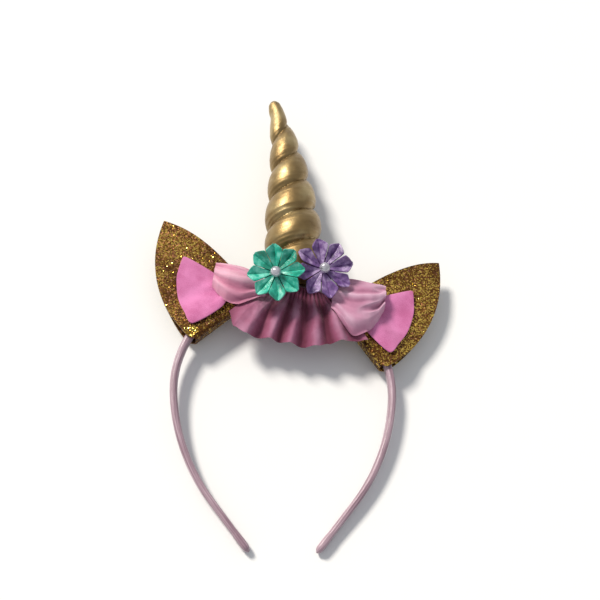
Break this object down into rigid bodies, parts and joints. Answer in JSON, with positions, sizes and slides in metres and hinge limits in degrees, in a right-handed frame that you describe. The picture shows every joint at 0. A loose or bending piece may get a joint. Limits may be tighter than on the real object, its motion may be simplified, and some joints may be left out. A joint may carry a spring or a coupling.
{
  "type": "unicorn horn headband",
  "caption": "Pink satin-covered headband with a stuffed gold spiral horn, folded glitter ears with felt inserts, a gathered chiffon ruffle and two satin flowers with pearls.",
  "frame": {"origin": "Middle of the bounding box in X and Y, on the surface the headband lies on", "axes": "+X to the right of the front view, +Y from the open ends of the band up to the horn's tip, +Z out of the front as it lies on its back"},
  "size_m": [0.166, 0.2768, 0.043],
  "materials": {
    "satin_pink": "satin ribbon over plastic",
    "gold_glitter": "gold glitter on foam sheet",
    "pink_felt": "matte felt",
    "gold_foil": "metallic foil cloth",
    "mint_satin": "satin ribbon",
    "lavender_satin": "satin ribbon",
    "pearl_white": "pearl",
    "pink_chiffon": "sheer chiffon"
  },
  "bodies": {
    "root": {"headband": "satin_pink", "ear_left": "gold_glitter", "ear_right": "gold_glitter", "inner_ear_left": "pink_felt", "inner_ear_right": "pink_felt", "horn": "gold_foil", "mint_petal_1": "mint_satin", "mint_petal_2": "mint_satin", "mint_petal_3": "mint_satin", "mint_petal_4": "mint_satin", "mint_petal_5": "mint_satin", "mint_petal_6": "mint_satin", "mint_petal_7": "mint_satin", "mint_petal_8": "mint_satin", "mint_pad": "mint_satin", "mint_pearl": "pearl_white", "lavender_petal_1": "lavender_satin", "lavender_petal_2": "lavender_satin", "lavender_petal_3": "lavender_satin", "lavender_petal_4": "lavender_satin", "lavender_petal_5": "lavender_satin", "lavender_petal_6": "lavender_satin", "lavender_petal_7": "lavender_satin", "lavender_petal_8": "lavender_satin", "lavender_pad": "lavender_satin", "lavender_pearl": "pearl_white", "frill": "pink_chiffon", "puff_left": "pink_chiffon", "puff_right": "pink_chiffon"}
  },
  "joints": []
}
